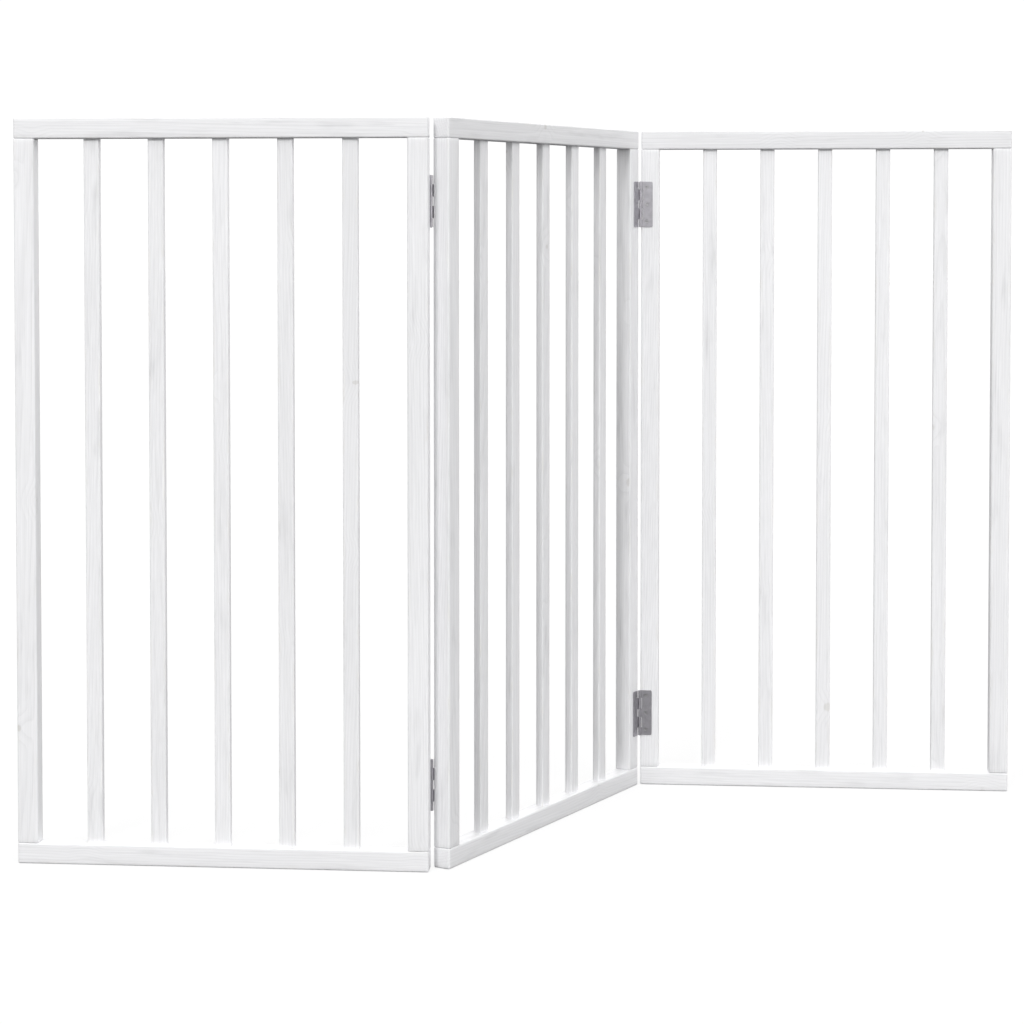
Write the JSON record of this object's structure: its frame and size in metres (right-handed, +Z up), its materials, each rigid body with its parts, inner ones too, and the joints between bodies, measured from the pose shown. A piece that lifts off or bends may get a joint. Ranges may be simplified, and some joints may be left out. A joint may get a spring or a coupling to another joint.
{
  "type": "pet gate",
  "caption": "Free-standing folding pet gate: slatted wooden panels joined in a zigzag by steel butt hinges.",
  "frame": {"origin": "on the floor, under the centre of the middle panel, which is also the bottom centre of the whole gate's box", "axes": "+X along the two outer panels, from the left panel to the right panel; +Y away from the front; +Z up"},
  "size_m": [1.2376, 0.492, 0.9],
  "materials": {
    "painted_wood": "solid softwood under a thin matt white wash, with the grain faintly showing",
    "bare_wood": "bare beech dowel, sealed inside the joints",
    "hinge_steel": "satin zinc-plated steel sheet",
    "screw_steel": "satin zinc-plated steel"
  },
  "bodies": {
    "left_panel": {"left_panel_bottom_rail": "painted_wood", "left_panel_top_rail": "painted_wood", "left_panel_outer_post": "painted_wood", "left_panel_hinge_post": "painted_wood", "left_panel_slat_1": "painted_wood", "left_panel_slat_2": "painted_wood", "left_panel_slat_3": "painted_wood", "left_panel_slat_4": "painted_wood", "left_panel_slat_5": "painted_wood", "left_panel_dowels": "bare_wood", "left_upper_hinge_outer_leaf": "hinge_steel", "left_upper_hinge_pin": "hinge_steel", "left_upper_hinge_outer_screws": "screw_steel", "left_lower_hinge_outer_leaf": "hinge_steel", "left_lower_hinge_pin": "hinge_steel", "left_lower_hinge_outer_screws": "screw_steel"},
    "middle_panel": {"middle_panel_bottom_rail": "painted_wood", "middle_panel_top_rail": "painted_wood", "middle_panel_left_post": "painted_wood", "middle_panel_right_post": "painted_wood", "middle_panel_slat_1": "painted_wood", "middle_panel_slat_2": "painted_wood", "middle_panel_slat_3": "painted_wood", "middle_panel_slat_4": "painted_wood", "middle_panel_slat_5": "painted_wood", "middle_panel_dowels": "bare_wood", "left_upper_hinge_middle_leaf": "hinge_steel", "left_upper_hinge_middle_screws": "screw_steel", "left_lower_hinge_middle_leaf": "hinge_steel", "left_lower_hinge_middle_screws": "screw_steel", "right_upper_hinge_middle_leaf": "hinge_steel", "right_upper_hinge_middle_screws": "screw_steel", "right_lower_hinge_middle_leaf": "hinge_steel", "right_lower_hinge_middle_screws": "screw_steel"},
    "right_panel": {"right_panel_bottom_rail": "painted_wood", "right_panel_top_rail": "painted_wood", "right_panel_hinge_post": "painted_wood", "right_panel_outer_post": "painted_wood", "right_panel_slat_1": "painted_wood", "right_panel_slat_2": "painted_wood", "right_panel_slat_3": "painted_wood", "right_panel_slat_4": "painted_wood", "right_panel_slat_5": "painted_wood", "right_panel_dowels": "bare_wood", "right_upper_hinge_outer_leaf": "hinge_steel", "right_upper_hinge_pin": "hinge_steel", "right_upper_hinge_outer_screws": "screw_steel", "right_lower_hinge_outer_leaf": "hinge_steel", "right_lower_hinge_pin": "hinge_steel", "right_lower_hinge_outer_screws": "screw_steel"}
  },
  "joints": [
    {"name": "left_panel_fold", "type": "hinge", "parent": "middle_panel", "child": "left_panel", "pos_m": [-0.11781, -0.22201, 0.45], "axis": [0, 0, -1], "range_deg": [-65, 115]},
    {"name": "right_panel_fold", "type": "hinge", "parent": "middle_panel", "child": "right_panel", "pos_m": [0.11781, 0.22201, 0.45], "axis": [0, 0, -1], "range_deg": [-65, 115]}
  ]
}
